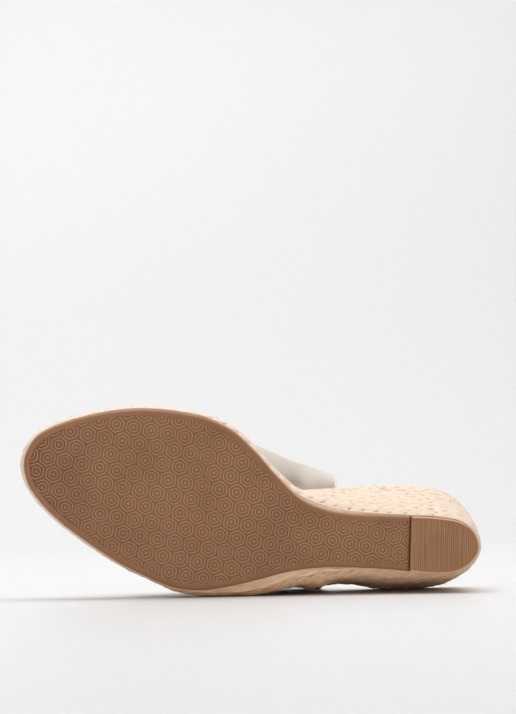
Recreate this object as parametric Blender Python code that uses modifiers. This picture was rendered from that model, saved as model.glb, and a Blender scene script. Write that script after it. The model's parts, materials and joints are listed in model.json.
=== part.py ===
"""Open-toe wedge shoe with a jute-wrapped wedge, right foot, lying on its outer side.

The shoe is modelled standing: +X runs from the back of the heel to the toe, +Y points to the
inner (medial) side and Z is the height over the ground. An empty then lays the whole shoe on
its outer side, where its own weight holds it. All sizes are in metres.
"""

import math

import bmesh
import bpy
import numpy as np
from mathutils import Matrix, Vector

MM = 0.001

# Driving sizes
SOLE_LENGTH = 235.5 * MM  # outsole, heel to toe, along the ground
BALL_WIDTH = 87.3 * MM  # outsole, widest inner point to widest outer point
HEEL_HEIGHT = 82.0 * MM  # ground to the footbed's edge at the heel
PLATFORM_HEIGHT = 22.0 * MM  # ground to the footbed's edge at the ball
INSTEP_HEIGHT = 72.0 * MM  # footbed's edge to the highest point that the upper could reach
TOE_SPRING = 7.0 * MM
HEEL_FLARE = 14.0 * MM  # how far the footbed's edge stands out past the sole at the heel

# Layers, from the ground up
OUTSOLE_THICKNESS = 3.0 * MM
TREAD_DEPTH = 0.6 * MM
TREAD_RIM = 2.3 * MM  # the smooth border round the tread
LIFT_STEP = 3.0 * MM  # how far the heel lift stands below the outsole
PLATFORM_THICKNESS = 18.2 * MM
INSOLE_THICKNESS = 3.0 * MM
UPPER_WALL = 2.2 * MM
GAP = 0.3 * MM  # between pieces that touch

# Where the layers start and end, as shares of SOLE_LENGTH
BREAST_ALONG = 0.152  # front of the heel lift, on the centre line
BREAST_SKEW = math.radians(8.7)  # the lift's front edge runs forward on the inner side
GROUND_BACK = 0.55  # the forefoot's flat spot
GROUND_FRONT = 0.74
WEDGE_TIP = 0.70
PLATFORM_SEAT = 0.715  # the platform rests on the outsole from here to the toe

# Braided rows on the side
PLATFORM_ROWS = 2
WEDGE_ROWS = 7
WEDGE_FADE = 0.10  # the wedge's rows flatten over this share of the length before its tip
PLATFORM_BULGE = 0.9 * MM
WEDGE_BULGE = 1.6 * MM
BULGE_SHARPNESS = 0.6  # 1 makes a row's section a sine, less makes it fuller
ROW_SHARES = (0.0, 0.22, 0.5, 0.78)  # where a row has its rings, as shares of its height

# Edges and seats
JUTE_LEDGE = 1.2 * MM  # the braid stands out this far past the rubber
EDGE_BEVEL = 0.6 * MM
INSOLE_INSET = 3.4 * MM  # from the footbed's edge
INSOLE_DISH = 1.0 * MM  # how far the insole's middle lies below its edge at the heel
UPPER_INSET = 0.4 * MM
UPPER_TUCK = 3.0 * MM  # extra wall at the base, cut off along the footbed
INSOLE_EDGE = 0.25  # the insole's bevel, as a share of its thickness

# How the flare is reached up the side: its power is the footbed's rise, at least
# FLARE_LEAST_RISE, to FLARE_STEEPNESS
FLARE_LEAST_RISE = 0.3
FLARE_STEEPNESS = 3

# Plan of the sole's edge. Lengths are shares of SOLE_LENGTH, widths shares of BALL_WIDTH
# (inner side positive) and flares shares of HEEL_FLARE.
HEEL_END = (0.0, -0.028, 0.53)
TOE_END = (1.0, 0.015, 0.05)
PLAN = (
    # along, inner width, inner flare, outer width, outer flare
    (0.020, 0.083, 0.81, -0.133, 0.71),
    (0.050, 0.117, 0.92, -0.184, 0.72),
    (0.100, 0.118, 0.95, -0.211, 0.70),
    (0.160, 0.097, 0.91, -0.223, 0.75),
    (0.220, 0.073, 0.85, -0.240, 0.69),
    (0.280, 0.051, 0.76, -0.264, 0.70),
    (0.340, 0.045, 0.58, -0.295, 0.66),
    (0.400, 0.078, 0.23, -0.346, 0.61),
    (0.460, 0.180, 0.05, -0.420, 0.48),
    (0.520, 0.305, 0.03, -0.490, 0.21),
    (0.580, 0.402, 0.04, -0.540, 0.05),
    (0.630, 0.440, 0.05, -0.552, 0.03),
    (0.700, 0.447, 0.05, -0.517, 0.03),
    (0.770, 0.428, 0.05, -0.460, 0.03),
    (0.840, 0.377, 0.05, -0.380, 0.03),
    (0.900, 0.311, 0.05, -0.299, 0.03),
    (0.950, 0.235, 0.05, -0.207, 0.03),
    (0.985, 0.150, 0.05, -0.108, 0.03),
)

# Rise of the footbed from ball (0) to heel (1)
FOOTBED_RISE = (
    # along, share of the rise
    (-0.08, 1.01),
    (0.00, 1.00),
    (0.10, 0.96),
    (0.20, 0.87),
    (0.30, 0.73),
    (0.40, 0.55),
    (0.50, 0.36),
    (0.60, 0.18),
    (0.68, 0.07),
    (0.76, 0.01),
    (0.82, 0.00),
    (1.05, 0.00),
)

# Cross-sections of the upper, as the foot fills it
UPPER_SECTIONS = (
    # along, height (share of INSTEP_HEIGHT), ridge, inner side, outer side (of BALL_WIDTH)
    (0.24, 0.80, -0.050, 0.252, -0.435),
    (0.29, 0.81, -0.045, 0.262, -0.452),
    (0.33, 0.82, -0.035, 0.277, -0.466),
    (0.38, 0.83, -0.020, 0.297, -0.478),
    (0.45, 0.82, 0.000, 0.333, -0.491),
    (0.52, 0.75, 0.020, 0.366, -0.496),
    (0.60, 0.64, 0.040, 0.400, -0.500),
    (0.68, 0.53, 0.050, 0.420, -0.476),
    (0.76, 0.43, 0.050, 0.402, -0.418),
    (0.84, 0.34, 0.040, 0.350, -0.340),
)
SIDE_HEIGHT = 0.42  # height of the upper's widest point, as a share of the section's height
SHOULDER = 2.3  # 2 makes the section's top an ellipse, more makes it squarer

# Front and back edges of the upper: along, at the inner base, the ridge and the outer base
UPPER_FRONT = (0.790, 0.775, 0.725)
UPPER_BACK = (0.290, 0.455, 0.275)

# Mesh fineness
PLAN_SAMPLES = 1600  # round the plan, before it is cut into stations
STATIONS = 44  # along the sole
EVEN_SPACING = 0.12  # 1 spaces the stations evenly, 0 crowds them at heel and toe
CUTTER_STEPS = 48
RIM_STEPS = 6  # across the upper, from its base to its widest point
CROWN_STEPS = 9  # from its widest point to the ridge
UPPER_STEPS = 20  # along the upper

# Weights that settle how the shoe lies, in kg per cubic metre
DENSITY = {"rubber": 1200.0, "jute": 300.0, "leather": 900.0}


def smooth_through(table, column):
    """A smooth curve through column of the table, read at any value of its first column."""
    xs = np.array([row[0] for row in table])
    ys = np.array([row[column] for row in table])
    slopes = np.gradient(ys, xs)

    def value(x):
        x = min(max(x, xs[0]), xs[-1])
        k = min(int(np.searchsorted(xs, x, side="right")) - 1, len(xs) - 2)
        step = xs[k + 1] - xs[k]
        u = (x - xs[k]) / step
        start = (1 + 2 * u) * (1 - u) ** 2 * ys[k] + u * (1 - u) ** 2 * step * slopes[k]
        end = u * u * (3 - 2 * u) * ys[k + 1] + u * u * (u - 1) * step * slopes[k + 1]
        return start + end

    return value


def smoothstep(x):
    x = min(max(x, 0.0), 1.0)
    return x * x * (3 - 2 * x)


footbed_rise = smooth_through(FOOTBED_RISE, 1)


def ground_height(x):
    """Underside of the outsole: stepped up at the lift, flat at the ball, sprung at the toe."""
    along = x / SOLE_LENGTH
    arch = LIFT_STEP * (1 - smoothstep((along - BREAST_ALONG) / (GROUND_BACK - BREAST_ALONG)))
    spring = max(along - GROUND_FRONT, 0.0) / (1 - GROUND_FRONT)
    return arch + TOE_SPRING * spring**2


def outsole_top(x):
    return ground_height(x) + OUTSOLE_THICKNESS


def footbed_height(x):
    """Top edge of the platform."""
    along = x / SOLE_LENGTH
    forefoot = PLATFORM_HEIGHT + TOE_SPRING * (max(along - GROUND_FRONT, 0.0) / (1 - GROUND_FRONT)) ** 2
    return forefoot + (HEEL_HEIGHT - PLATFORM_HEIGHT) * footbed_rise(along)


def platform_bottom(x):
    """Underside of the platform: on the wedge, and past the wedge's tip on the outsole."""
    on_wedge = footbed_height(x) - PLATFORM_THICKNESS
    on_outsole = outsole_top(x) + GAP
    seated = smoothstep((x / SOLE_LENGTH - WEDGE_TIP) / (PLATFORM_SEAT - WEDGE_TIP))
    return max(on_wedge + (on_outsole - on_wedge) * seated, on_outsole)


def flare_share(x, height):
    """How much of the flare is reached at a height: straight at the heel, early at the ball."""
    low = outsole_top(x)
    share = (height - low) / (footbed_height(x) - low)
    power = max(footbed_rise(x / SOLE_LENGTH), FLARE_LEAST_RISE) ** FLARE_STEEPNESS
    return min(max(share, 0.0), 1.0) ** power


def closed_plan():
    """The sole's edge as columns of point, outward direction and flare, heel end first,
    up the inner side to the toe and back down the outer side."""
    rows = [HEEL_END] + [(r[0], r[1], r[2]) for r in PLAN]
    rows += [TOE_END] + [(r[0], r[3], r[4]) for r in reversed(PLAN)]
    knots = np.array([(a * SOLE_LENGTH, w * BALL_WIDTH, f * HEEL_FLARE) for a, w, f in rows])
    looped = np.vstack([knots[-3:], knots, knots[:4]])
    chord = np.concatenate([[0], np.cumsum(np.hypot(*np.diff(looped[:, :2], axis=0).T))])
    fine = np.linspace(chord[3], chord[3 + len(knots)], PLAN_SAMPLES + 1)
    tables = [np.column_stack([chord, looped[:, c]]) for c in range(3)]
    curves = [smooth_through(table, 1) for table in tables]
    dense = np.array([[curve(u) for curve in curves] for u in fine])
    toe = int(dense[:, 0].argmax())
    heel = int(dense[:, 0].argmin())
    dense = np.vstack([dense[heel:-1], dense[:heel], dense[heel : heel + 1]])
    toe = (toe - heel) % (len(dense) - 1)
    share = np.linspace(0, 1, STATIONS + 1)
    spread = (1 - EVEN_SPACING) * (1 - np.cos(math.pi * share)) / 2 + EVEN_SPACING * share
    stations = dense[0, 0] + (dense[toe, 0] - dense[0, 0]) * spread
    inner = dense[: toe + 1]
    outer = dense[toe:][::-1]
    sides = []
    for side in (inner, outer):
        along = np.maximum.accumulate(side[:, 0])
        sides.append([[x] + [np.interp(x, along, side[:, c]) for c in (1, 2)] for x in stations])
    ring = np.array(sides[0] + sides[1][-2:0:-1])
    ahead, behind = np.roll(ring, -1, axis=0), np.roll(ring, 1, axis=0)
    run = ahead[:, :2] - behind[:, :2]
    out = np.column_stack([-run[:, 1], run[:, 0]])
    out /= np.linalg.norm(out, axis=1)[:, None]
    return ring[:, :2], out, ring[:, 2]


PLAN_POINTS, PLAN_OUT, PLAN_FLARE = closed_plan()
COLUMNS = len(PLAN_POINTS)


def edge_ring(height, flare=0.0, outset=0.0):
    """A ring of points: the sole's edge moved out by a share of the flare and an outset.
    height, flare and outset are numbers, or functions of the length x."""

    def read(value, x):
        return value(x) if callable(value) else value

    points = []
    for k in range(COLUMNS):
        x0 = PLAN_POINTS[k][0]
        move = PLAN_FLARE[k] * read(flare, x0) + read(outset, x0)
        x, y = PLAN_POINTS[k] + PLAN_OUT[k] * move
        points.append((x, y, read(height, x)))
    return points


def rim_ring(height, inset):
    """A ring that follows the footbed's edge."""
    return edge_ring(height, flare=1.0, outset=JUTE_LEDGE - inset)


def row_outset(bulge, share):
    """Outset of a braided row at a share of its height."""
    return JUTE_LEDGE + bulge * max(math.sin(math.pi * share), 0.0) ** BULGE_SHARPNESS


def new_object(name, mesh, collection):
    made = bpy.data.objects.new(name, mesh)
    collection.objects.link(made)
    return made


def closed_loft(name, rings, collection, dish=(0.0, 0.0)):
    """A closed body from rings of COLUMNS points, bottom ring first. Each end is closed by
    rungs between the two sides, with a spine that dish lifts or lowers at the bottom and top."""
    half = COLUMNS // 2
    shape = bmesh.new()
    loops = [[shape.verts.new(p) for p in ring] for ring in rings]
    for low, high in zip(loops, loops[1:]):
        for k in range(COLUMNS):
            n = (k + 1) % COLUMNS
            shape.faces.new((low[n], low[k], high[k], high[n]))
    for loop, sink, top in ((loops[0], dish[0], False), (loops[-1], dish[1], True)):
        spine = [loop[0]]
        for k in range(1, half):
            middle = (loop[k].co + loop[COLUMNS - k].co) / 2
            depth = sink * math.sin(math.pi * k / half)
            spine.append(shape.verts.new(middle - Vector((0, 0, depth))))
        spine.append(loop[half])
        for k in range(half):
            for side in (loop[k], loop[k + 1]), (loop[(COLUMNS - k) % COLUMNS], loop[COLUMNS - k - 1]):
                corners = [side[0], side[1], spine[k + 1], spine[k]]
                corners = list(dict.fromkeys(corners))
                if len(corners) > 2:
                    shape.faces.new(corners)
    bmesh.ops.recalc_face_normals(shape, faces=shape.faces)
    mesh = bpy.data.meshes.new(name)
    shape.to_mesh(mesh)
    shape.free()
    return new_object(name, mesh, collection)


def side_profile(name, low, high, back, front, steps, collection):
    """A cutter as wide as the shoe between two height curves, from back to front along X."""
    half_width = BALL_WIDTH
    xs = np.linspace(back, front, steps + 1)
    shape = bmesh.new()
    rows = []
    for x in xs:
        corners = [(-half_width, low(x)), (half_width, low(x)), (half_width, high(x)), (-half_width, high(x))]
        rows.append([shape.verts.new((x, y, z)) for y, z in corners])
    for one, two in zip(rows, rows[1:]):
        for k in range(4):
            n = (k + 1) % 4
            shape.faces.new((one[k], one[n], two[n], two[k]))
    shape.faces.new(rows[0])
    shape.faces.new(rows[-1])
    bmesh.ops.recalc_face_normals(shape, faces=shape.faces)
    mesh = bpy.data.meshes.new(name)
    shape.to_mesh(mesh)
    shape.free()
    return as_cutter(new_object(name, mesh, collection))


def as_cutter(cutter):
    cutter.hide_render = True
    cutter.display_type = "WIRE"
    return cutter


def cut(body, cutter, operation):
    step = body.modifiers.new(cutter.name, "BOOLEAN")
    step.object = cutter
    step.operation = operation
    step.solver = "EXACT"


def heel_block(name, clearance, collection):
    """Everything behind the heel lift's front edge, moved forward by a clearance."""
    size = Vector((SOLE_LENGTH, 2 * BALL_WIDTH, 2 * HEEL_HEIGHT))
    shape = bmesh.new()
    bmesh.ops.create_cube(shape, size=1.0)
    bmesh.ops.scale(shape, vec=size, verts=shape.verts)
    bmesh.ops.translate(shape, vec=(clearance - size.x / 2, 0, 0), verts=shape.verts)
    mesh = bpy.data.meshes.new(name)
    shape.to_mesh(mesh)
    shape.free()
    block = new_object(name, mesh, collection)
    block.location = (BREAST_ALONG * SOLE_LENGTH, 0, 0)
    block.rotation_euler = (0, 0, -BREAST_SKEW)
    return as_cutter(block)


def rubber_outsole(parts, cutters):
    """A sheet with a smooth border and a tread field let into its underside."""
    inner = EDGE_BEVEL + TREAD_RIM

    def lifted(height):
        return lambda x: ground_height(x) + height

    rings = [
        edge_ring(lifted(TREAD_DEPTH), outset=-inner - TREAD_DEPTH),
        edge_ring(ground_height, outset=-inner),
        edge_ring(ground_height, outset=-EDGE_BEVEL),
        edge_ring(lifted(EDGE_BEVEL)),
        edge_ring(outsole_top),
    ]
    outsole = closed_loft("outsole", rings, parts)
    cut(outsole, heel_block("behind_outsole", GAP, cutters), "DIFFERENCE")
    return outsole


def rubber_heel_lift(parts, cutters):
    """The thick rubber pad under the heel, flush with the outsole's edge."""
    rings = [
        edge_ring(0.0, outset=-EDGE_BEVEL),
        edge_ring(EDGE_BEVEL),
        edge_ring(OUTSOLE_THICKNESS + LIFT_STEP),
    ]
    lift = closed_loft("heel_lift", rings, parts)
    cut(lift, heel_block("lift_outline", 0.0, cutters), "INTERSECT")
    return lift


def wedge(parts, cutters):
    """The tall part of the heel, with level braided rows, between outsole and platform."""
    bottom = OUTSOLE_THICKNESS + LIFT_STEP
    top = HEEL_HEIGHT - PLATFORM_THICKNESS
    pitch = (top - bottom) / WEDGE_ROWS
    rings = []

    def bulge(x):
        faded = smoothstep((WEDGE_TIP - x / SOLE_LENGTH) / WEDGE_FADE)
        return PLATFORM_BULGE / 2 + (WEDGE_BULGE - PLATFORM_BULGE / 2) * faded

    for row in range(-1, WEDGE_ROWS + 1):
        for share in ROW_SHARES:
            height = bottom + pitch * (row + share)
            rings.append(
                edge_ring(
                    height,
                    flare=lambda x, z=height: flare_share(x, z),
                    outset=lambda x, s=share: row_outset(bulge(x), s),
                )
            )
    body = closed_loft("wedge", rings, parts)
    limits = side_profile(
        "wedge_side",
        lambda x: outsole_top(x) + GAP,
        lambda x: platform_bottom(x) - GAP,
        -2 * HEEL_FLARE,
        WEDGE_TIP * SOLE_LENGTH,
        CUTTER_STEPS,
        cutters,
    )
    cut(body, limits, "INTERSECT")
    return body


def platform(parts):
    """The layer of braided rows that follows the footbed all the way round."""

    def level(share):
        return lambda x: platform_bottom(x) + (footbed_height(x) - platform_bottom(x)) * share

    rings = []
    for row in range(PLATFORM_ROWS):
        for share in ROW_SHARES:
            height = level((row + share) / PLATFORM_ROWS)
            rings.append(
                edge_ring(
                    height,
                    flare=lambda x, z=height: flare_share(x, z(x)),
                    outset=row_outset(PLATFORM_BULGE, share),
                )
            )
    rings.append(rim_ring(footbed_height, 0.0))
    return closed_loft("platform", rings, parts)


def insole(parts):
    """The padded sock that covers the footbed inside the upper."""

    def lifted(height):
        return lambda x: footbed_height(x) + height

    edge = INSOLE_THICKNESS * INSOLE_EDGE
    rings = [
        rim_ring(lifted(GAP), INSOLE_INSET),
        rim_ring(lifted(GAP + INSOLE_THICKNESS - edge), INSOLE_INSET),
        rim_ring(lifted(GAP + INSOLE_THICKNESS), INSOLE_INSET + edge),
    ]
    return closed_loft("insole", rings, parts, dish=(0.0, INSOLE_DISH))


def rim_sides():
    """The upper's base on the footbed's edge: Y against X, for the inner and outer side."""
    ring = np.array(rim_ring(0.0, UPPER_INSET))
    half = COLUMNS // 2
    inner = ring[: half + 1]
    outer = np.vstack([ring[half:], ring[:1]])[::-1]
    return inner[:, :2], outer[:, :2]


def upper_band(parts, cutters):
    """The leather band over the foot, one wall, open at the toe, the heel and underneath."""
    height_share, ridge, inner_side, outer_side = (smooth_through(UPPER_SECTIONS, c) for c in (1, 2, 3, 4))
    inner_rim, outer_rim = rim_sides()

    def section_point(x, outer, step):
        """A point of the section at x, from its base (step 0) to the ridge (step 1)."""
        along = x / SOLE_LENGTH
        side, rim = (outer_side, outer_rim) if outer else (inner_side, inner_rim)
        base_y = np.interp(x, rim[:, 0], rim[:, 1])
        wide_y = side(along) * BALL_WIDTH
        ridge_y = ridge(along) * BALL_WIDTH
        tall = height_share(along) * INSTEP_HEIGHT
        wide_z = SIDE_HEIGHT * tall
        if step < 0:
            z = wide_z + step * (wide_z + UPPER_TUCK)
            return base_y + (wide_y - base_y) * smoothstep(z / wide_z), footbed_height(x) + z
        angle = step * math.pi / 2
        y = ridge_y + (wide_y - ridge_y) * math.cos(angle) ** (2 / SHOULDER)
        z = wide_z + (tall - wide_z) * math.sin(angle) ** (2 / SHOULDER)
        return y, footbed_height(x) + z

    def edge_along(ends, outer, step):
        """The band's front or back edge at a step of the section."""
        base = ends[2] if outer else ends[0]
        return (base + (ends[1] - base) * smoothstep(max(step, 0.0))) * SOLE_LENGTH

    steps = [k / RIM_STEPS - 1 for k in range(RIM_STEPS)] + [k / CROWN_STEPS for k in range(CROWN_STEPS)]
    across = [(False, s) for s in steps] + [(False, 1.0)] + [(True, s) for s in reversed(steps)]
    shape = bmesh.new()
    grid = []
    for outer, step in across:
        front, back = (edge_along(ends, outer, step) for ends in (UPPER_FRONT, UPPER_BACK))
        line = []
        for k in range(UPPER_STEPS + 1):
            x = back + (front - back) * k / UPPER_STEPS
            line.append(shape.verts.new((x, *section_point(x, outer, step))))
        grid.append(line)
    for one, two in zip(grid, grid[1:]):
        for k in range(UPPER_STEPS):
            shape.faces.new((one[k], two[k], two[k + 1], one[k + 1]))
    mesh = bpy.data.meshes.new("upper")
    shape.to_mesh(mesh)
    shape.free()
    band = new_object("upper", mesh, parts)
    wall = band.modifiers.new("wall", "SOLIDIFY")
    wall.thickness = UPPER_WALL
    wall.offset = -1.0
    wall.use_even_offset = True
    below = side_profile(
        "under_upper",
        lambda x: 0.0,
        lambda x: footbed_height(x) + GAP,
        UPPER_BACK[2] * SOLE_LENGTH - 2 * HEEL_FLARE,
        SOLE_LENGTH,
        CUTTER_STEPS,
        cutters,
    )
    cut(band, below, "DIFFERENCE")
    return band


def material(name, colour, roughness):
    made = bpy.data.materials.new(name)
    made.use_nodes = True
    shader = made.node_tree.nodes["Principled BSDF"]
    shader.inputs["Base Color"].default_value = (*colour, 1.0)
    shader.inputs["Roughness"].default_value = roughness
    shader.inputs["Metallic"].default_value = 0.0
    return made


def evaluated_points(part):
    """Corners and triangles of a finished part."""
    part_now = part.evaluated_get(bpy.context.evaluated_depsgraph_get())
    mesh = part_now.to_mesh()
    mesh.calc_loop_triangles()
    points = np.array([part.matrix_world @ v.co for v in mesh.vertices])
    triangles = np.array([t.vertices[:] for t in mesh.loop_triangles])
    part_now.to_mesh_clear()
    return points, triangles


def balance_point(solids):
    """Centre of mass of solids given as (points, triangles, density)."""
    mass, moment = 0.0, np.zeros(3)
    for points, triangles, density in solids:
        a, b, c = (points[triangles[:, k]] for k in range(3))
        volumes = np.einsum("ij,ij->i", a, np.cross(b, c)) / 6 * density
        mass += volumes.sum()
        moment += ((a + b + c) / 4 * volumes[:, None]).sum(axis=0)
    return moment / mass


def supporting_face(points, balance):
    """Outward direction of the outer-side face of the hull that the shoe can lie on."""
    shape = bmesh.new()
    for p in points:
        shape.verts.new(p)
    bmesh.ops.convex_hull(shape, input=shape.verts)
    best, direction = 0.0, None
    for face in shape.faces:
        face.normal_update()
        normal = np.array(face.normal)
        corners = [np.array(v.co) for v in face.verts]
        centre = sum(corners) / len(corners)
        if normal @ (centre - balance) < 0:
            normal = -normal
        foot = balance + normal * (normal @ (centre - balance))
        turns = [
            normal @ np.cross(two - one, foot - one)
            for one, two in zip(corners, corners[1:] + corners[:1])
        ]
        inside = min(turns) >= 0 or max(turns) <= 0
        if inside and -normal[1] > best:
            best, direction = -normal[1], normal
    shape.free()
    return direction


def lying_turn(down):
    """Turns the standing shoe so that down points to the floor and the sole faces -Y."""
    below = Vector(down).normalized()
    upright = Vector((0, 0, 1))
    level = (upright - below * below.dot(upright)).normalized()
    side = level.cross(-below)
    return Matrix((side, level, -below)).to_4x4()


def lay_down(parts, densities):
    """Parents the parts to an empty that lays the shoe on its outer side on the floor."""
    bpy.context.view_layer.update()
    solids = [(*evaluated_points(part), densities[part.name]) for part in parts]
    points = np.vstack([solid[0] for solid in solids])
    turn = lying_turn(supporting_face(points, balance_point(solids)))
    turned = points @ np.array(turn.to_3x3()).T
    low, high = turned.min(axis=0), turned.max(axis=0)
    empty = bpy.data.objects.new("laid_on_its_side", None)
    bpy.context.scene.collection.objects.link(empty)
    empty.rotation_mode = "QUATERNION"
    empty.rotation_quaternion = turn.to_quaternion()
    empty.location = (-(low[0] + high[0]) / 2, -(low[1] + high[1]) / 2, -low[2])
    return empty


def main():
    for old in list(bpy.data.objects):
        bpy.data.objects.remove(old)
    parts = bpy.data.collections.new("wedge_shoe")
    cutters = bpy.data.collections.new("cutters")
    for collection in (parts, cutters):
        bpy.context.scene.collection.children.link(collection)
    rubber = material("rubber", (0.27, 0.155, 0.083), 0.55)
    jute = material("jute", (0.72, 0.52, 0.33), 0.85)
    lining = material("insole_leather", (0.62, 0.52, 0.40), 0.6)
    leather = material("upper_leather", (0.60, 0.55, 0.47), 0.45)
    made = (
        (rubber_outsole(parts, cutters), rubber, "rubber"),
        (rubber_heel_lift(parts, cutters), rubber, "rubber"),
        (wedge(parts, cutters), jute, "jute"),
        (platform(parts), jute, "jute"),
        (insole(parts), lining, "leather"),
        (upper_band(parts, cutters), leather, "leather"),
    )
    for part, finish, _ in made:
        part.data.materials.append(finish)
    empty = lay_down([part for part, _, _ in made], {part.name: DENSITY[stuff] for part, _, stuff in made})
    for item in list(parts.objects) + list(cutters.objects):
        item.parent = empty


main()
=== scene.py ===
"""Looks of a right wedge shoe that lies on its outer side: rubber sole with a raised tread,
plaited jute wedge and platform, padded insole and a wide leather band.

The shoe is shaped standing, as a maker would: +X runs from the back of the heel to the toe,
+Y points to the inner side and Z is the height over the ground. The record's two mounts then
say how it lies. All sizes are in metres.
"""

import json
import math

import bmesh
import bpy
import numpy as np
from mathutils import Matrix, Vector


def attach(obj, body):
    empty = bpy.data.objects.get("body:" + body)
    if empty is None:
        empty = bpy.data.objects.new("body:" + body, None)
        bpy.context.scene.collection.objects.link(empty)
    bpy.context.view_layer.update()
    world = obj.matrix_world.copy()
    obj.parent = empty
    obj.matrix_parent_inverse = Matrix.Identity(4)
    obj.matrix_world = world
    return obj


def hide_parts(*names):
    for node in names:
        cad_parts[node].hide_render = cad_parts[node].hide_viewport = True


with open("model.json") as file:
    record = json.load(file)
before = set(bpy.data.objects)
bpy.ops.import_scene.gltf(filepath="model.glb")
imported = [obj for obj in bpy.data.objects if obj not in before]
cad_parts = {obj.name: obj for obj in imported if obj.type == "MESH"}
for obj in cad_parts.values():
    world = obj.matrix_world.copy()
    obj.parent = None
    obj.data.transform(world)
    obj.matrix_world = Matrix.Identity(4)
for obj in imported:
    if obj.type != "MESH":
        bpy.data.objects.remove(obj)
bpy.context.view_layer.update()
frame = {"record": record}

MM = 0.001

# Driving sizes, the same as the modelled part's
SOLE_LENGTH = 235.5 * MM
BALL_WIDTH = 87.3 * MM
HEEL_HEIGHT = 82.0 * MM
PLATFORM_HEIGHT = 22.0 * MM
INSTEP_HEIGHT = 72.0 * MM
TOE_SPRING = 7.0 * MM
HEEL_FLARE = 14.0 * MM
OUTSOLE_THICKNESS = 3.0 * MM
TREAD_DEPTH = 0.6 * MM
TREAD_RIM = 2.3 * MM
LIFT_STEP = 3.0 * MM
PLATFORM_THICKNESS = 18.2 * MM
INSOLE_THICKNESS = 3.0 * MM
GAP = 0.3 * MM
BREAST_ALONG = 0.152  # front of the heel lift
BREAST_SKEW = math.radians(8.7)
GROUND_BACK = 0.55
GROUND_FRONT = 0.74
WEDGE_TIP = 0.70
PLATFORM_SEAT = 0.715
FLARE_LEAST_RISE = 0.3
FLARE_STEEPNESS = 3
PLATFORM_ROWS = 2
WEDGE_ROWS = 7
WEDGE_BOTTOM = OUTSOLE_THICKNESS + LIFT_STEP
WEDGE_ROW = (HEEL_HEIGHT - PLATFORM_THICKNESS - WEDGE_BOTTOM) / WEDGE_ROWS  # height of a row
WEDGE_FADE = 0.10  # of the length, over which the wedge's bulge dies out at its tip
PLATFORM_BULGE = 0.9 * MM
WEDGE_BULGE = 1.6 * MM
BULGE_SHARPNESS = 0.6
JUTE_LEDGE = 1.2 * MM
EDGE_BEVEL = 0.6 * MM
INSOLE_INSET = 3.4 * MM
INSOLE_DISH = 1.0 * MM
UPPER_INSET = 0.4 * MM

# Plan of the sole's edge. Lengths are shares of SOLE_LENGTH, widths shares of BALL_WIDTH
# (inner side positive) and flares shares of HEEL_FLARE.
HEEL_END = (0.0, -0.028, 0.53)
TOE_END = (1.0, 0.015, 0.05)
PLAN = (
    # along, inner width, inner flare, outer width, outer flare
    (0.020, 0.083, 0.81, -0.133, 0.71),
    (0.050, 0.117, 0.92, -0.184, 0.72),
    (0.100, 0.118, 0.95, -0.211, 0.70),
    (0.160, 0.097, 0.91, -0.223, 0.75),
    (0.220, 0.073, 0.85, -0.240, 0.69),
    (0.280, 0.051, 0.76, -0.264, 0.70),
    (0.340, 0.045, 0.58, -0.295, 0.66),
    (0.400, 0.078, 0.23, -0.346, 0.61),
    (0.460, 0.180, 0.05, -0.420, 0.48),
    (0.520, 0.305, 0.03, -0.490, 0.21),
    (0.580, 0.402, 0.04, -0.540, 0.05),
    (0.630, 0.440, 0.05, -0.552, 0.03),
    (0.700, 0.447, 0.05, -0.517, 0.03),
    (0.770, 0.428, 0.05, -0.460, 0.03),
    (0.840, 0.377, 0.05, -0.380, 0.03),
    (0.900, 0.311, 0.05, -0.299, 0.03),
    (0.950, 0.235, 0.05, -0.207, 0.03),
    (0.985, 0.150, 0.05, -0.108, 0.03),
)

# Rise of the footbed from ball (0) to heel (1)
FOOTBED_RISE = (
    # along, share of the rise
    (-0.08, 1.01),
    (0.00, 1.00),
    (0.10, 0.96),
    (0.20, 0.87),
    (0.30, 0.73),
    (0.40, 0.55),
    (0.50, 0.36),
    (0.60, 0.18),
    (0.68, 0.07),
    (0.76, 0.01),
    (0.82, 0.00),
    (1.05, 0.00),
)

# Cross-sections of the upper, as the foot fills it
UPPER_SECTIONS = (
    # along, height (share of INSTEP_HEIGHT), ridge, inner side, outer side (of BALL_WIDTH)
    (0.24, 0.80, -0.050, 0.252, -0.435),
    (0.29, 0.81, -0.045, 0.262, -0.452),
    (0.33, 0.82, -0.035, 0.277, -0.466),
    (0.38, 0.83, -0.020, 0.297, -0.478),
    (0.45, 0.82, 0.000, 0.333, -0.491),
    (0.52, 0.75, 0.020, 0.366, -0.496),
    (0.60, 0.64, 0.040, 0.400, -0.500),
    (0.68, 0.53, 0.050, 0.420, -0.476),
    (0.76, 0.43, 0.050, 0.402, -0.418),
    (0.84, 0.34, 0.040, 0.350, -0.340),
)
SIDE_HEIGHT = 0.42  # of the height, where a section is widest
SHOULDER = 2.3  # 2 is an ellipse, more is squarer
UPPER_FRONT = (0.790, 0.775, 0.725)  # along, at the inner base, the ridge and the outer base
UPPER_BACK = (0.290, 0.455, 0.275)

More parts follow.
